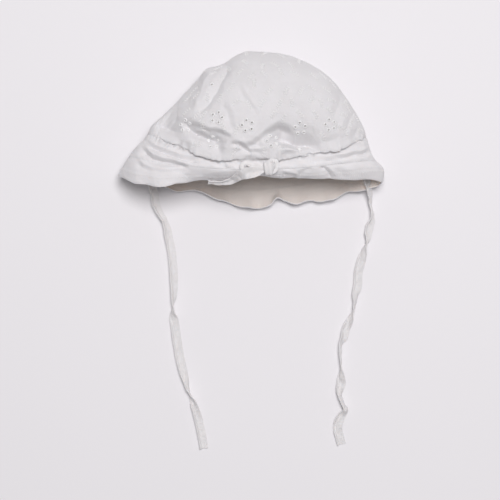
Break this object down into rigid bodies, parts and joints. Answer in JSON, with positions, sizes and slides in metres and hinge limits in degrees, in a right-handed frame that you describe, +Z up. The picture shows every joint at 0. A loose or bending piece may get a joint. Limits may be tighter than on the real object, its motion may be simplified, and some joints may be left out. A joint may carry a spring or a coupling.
{
  "type": "baby sun hat",
  "caption": "Soft cotton baby sun hat lying on its back: eyelet-embroidered crown gathered into a drawstring band, narrow wavy brim, tied bow and flat chin ties.",
  "frame": {"origin": "on the surface that the hat lies on, under the crown's flat back", "axes": "+X across the brim, +Y from the brim to the top of the crown, +Z up from the surface through the hat's front"},
  "size_m": [0.2414, 0.3616, 0.0794],
  "materials": {
    "eyelet_cotton": "white cotton lawn with white eyelet embroidery",
    "plain_cotton": "plain white cotton lawn",
    "cotton_tape": "white cotton tape"
  },
  "bodies": {
    "root": {"crown": "eyelet_cotton", "band": "plain_cotton", "brim": "plain_cotton", "drawstring_knot": "cotton_tape", "drawstring_loop_left": "cotton_tape", "drawstring_loop_right": "cotton_tape", "drawstring_tail": "cotton_tape", "tie_left": "cotton_tape", "tie_right": "cotton_tape"}
  },
  "joints": []
}
